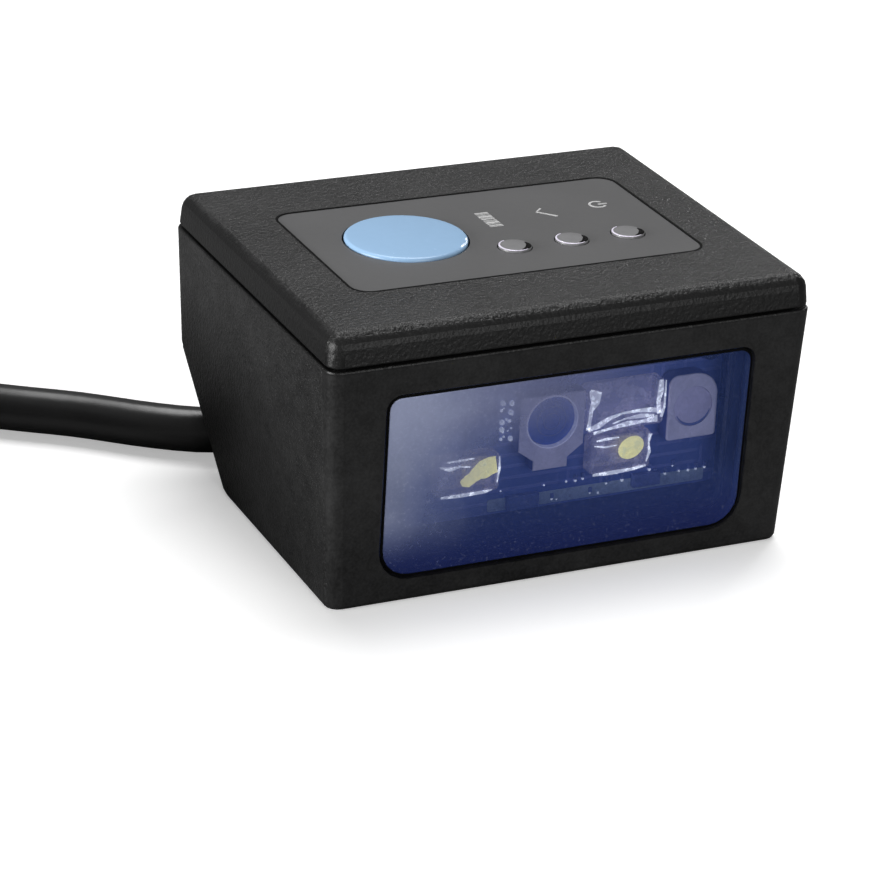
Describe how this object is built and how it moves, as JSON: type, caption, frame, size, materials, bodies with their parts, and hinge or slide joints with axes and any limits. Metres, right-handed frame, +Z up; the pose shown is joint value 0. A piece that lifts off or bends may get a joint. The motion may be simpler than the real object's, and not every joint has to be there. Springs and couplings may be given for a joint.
{
  "type": "fixed barcode reader",
  "caption": "Compact fixed-mount barcode reader: drafted black housing, tinted front window over a scan engine, trigger key, indicator lights and a fixed cord from a chamfer at the back.",
  "frame": {"origin": "middle of the underside of the housing, on the surface it stands on", "axes": "+X to the right along the window, +Y to the back (the window faces -Y), +Z up"},
  "size_m": [0.1555, 0.0773, 0.0288],
  "materials": {
    "black_plastic": "fine moulded texture, satin",
    "dark_rubber": "matte",
    "label_grey": "fine-grained film",
    "key_blue": "translucent, smooth",
    "clear_plastic": "clear, polished",
    "tinted_blue": "tinted, polished",
    "board_green": "solder mask",
    "holder_violet": "satin",
    "white_ceramic": "satin",
    "chip_black": "fine, satin",
    "ivory_nylon": "satin",
    "flex_amber": "smooth film",
    "steel": "plated",
    "brass": "turned",
    "cord_black": "satin jacket"
  },
  "bodies": {
    "housing": {"aimer_housing": "holder_violet", "aimer_lens": "holder_violet", "base_housing": "black_plastic", "beeper": "chip_black", "board_screw_back_left": "steel", "board_screw_back_right": "steel", "board_screw_front_left": "steel", "board_screw_front_right": "steel", "cable_connector": "ivory_nylon", "cable_header": "ivory_nylon", "camera_lens": "tinted_blue", "camera_lens_holder": "holder_violet", "chassis_screw_left": "steel", "chassis_screw_right": "steel", "coil_tie": "dark_rubber", "cord_coil": "cord_black", "cord_lead": "cord_black", "cord_tail": "cord_black", "cover_seal": "dark_rubber", "engine_board": "board_green", "engine_chassis": "chip_black", "engine_flex": "flex_amber", "engine_screw_left": "steel", "engine_screw_right": "steel", "housing_screw_back_left": "steel", "housing_screw_back_right": "steel", "housing_screw_front_left": "steel", "housing_screw_front_right": "steel", "image_sensor": "chip_black", "indicator_led_left": "white_ceramic", "indicator_led_middle": "white_ceramic", "indicator_led_right": "white_ceramic", "indicator_lens_left": "clear_plastic", "indicator_lens_middle": "clear_plastic", "indicator_lens_right": "clear_plastic", "inner_lead": "cord_black", "keypad_board": "board_green", "keypad_flex": "flex_amber", "keypad_label": "label_grey", "keypad_screw_left": "steel", "keypad_screw_right": "steel", "left_led": "white_ceramic", "left_led_lens": "clear_plastic", "light_guide": "clear_plastic", "main_board": "board_green", "main_chip": "chip_black", "mount_insert_left": "brass", "mount_insert_right": "brass", "plug_body": "dark_rubber", "plug_shell": "steel", "right_led": "white_ceramic", "right_led_lens": "clear_plastic", "strain_relief": "dark_rubber", "top_cover": "black_plastic", "trigger_switch": "chip_black", "window": "tinted_blue", "window_gasket": "dark_rubber"},
    "button": {"trigger_button": "key_blue", "switch_plunger": "ivory_nylon"}
  },
  "joints": [
    {"name": "trigger_press", "type": "slide", "parent": "housing", "child": "button", "axis": [0, 0, -1], "range_m": [0, 0.0004], "stiffness_N_per_m": 5000}
  ]
}
